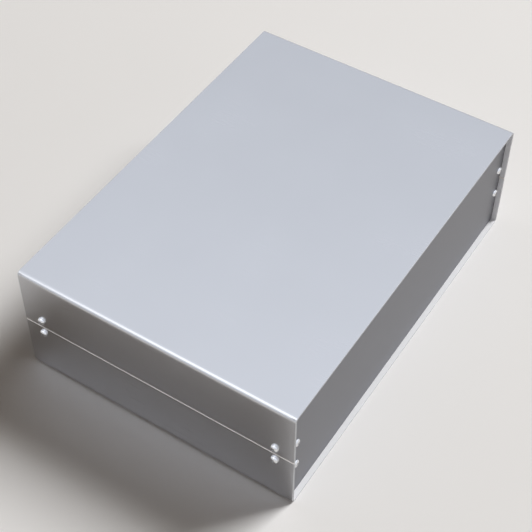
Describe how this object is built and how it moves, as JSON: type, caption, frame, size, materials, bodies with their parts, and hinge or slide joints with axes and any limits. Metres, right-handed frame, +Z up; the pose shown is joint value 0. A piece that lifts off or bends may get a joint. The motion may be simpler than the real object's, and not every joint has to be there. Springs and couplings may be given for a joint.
{
  "type": "aluminium enclosure",
  "caption": "Low rectangular metal case: channel-shaped half shells screwed together at a side seam, with a recessed flat panel at each open end.",
  "frame": {"origin": "centre of the case's outline on the surface that it stands on", "axes": "+Z up, +X across the side walls, -Y out of the front panel"},
  "size_m": [0.284, 0.2, 0.088],
  "materials": {
    "shell_aluminium": "bare mill finish, satin",
    "panel_aluminium": "bare mill finish, satin",
    "bracket_steel": "zinc plated",
    "screw_steel": "bright zinc plated"
  },
  "bodies": {
    "root": {"top_shell": "shell_aluminium", "bottom_shell": "shell_aluminium", "front_panel": "panel_aluminium", "rear_panel": "panel_aluminium", "bracket_front_left": "bracket_steel", "bracket_front_right": "bracket_steel", "bracket_rear_left": "bracket_steel", "bracket_rear_right": "bracket_steel", "shell_screw_front_left_upper": "screw_steel", "shell_screw_front_left_lower": "screw_steel", "shell_screw_front_right_upper": "screw_steel", "shell_screw_front_right_lower": "screw_steel", "shell_screw_rear_left_upper": "screw_steel", "shell_screw_rear_left_lower": "screw_steel", "shell_screw_rear_right_upper": "screw_steel", "shell_screw_rear_right_lower": "screw_steel", "panel_screw_front_left_upper": "screw_steel", "panel_screw_front_left_lower": "screw_steel", "panel_screw_front_right_upper": "screw_steel", "panel_screw_front_right_lower": "screw_steel", "panel_screw_rear_left_upper": "screw_steel", "panel_screw_rear_left_lower": "screw_steel", "panel_screw_rear_right_upper": "screw_steel", "panel_screw_rear_right_lower": "screw_steel"}
  },
  "joints": []
}
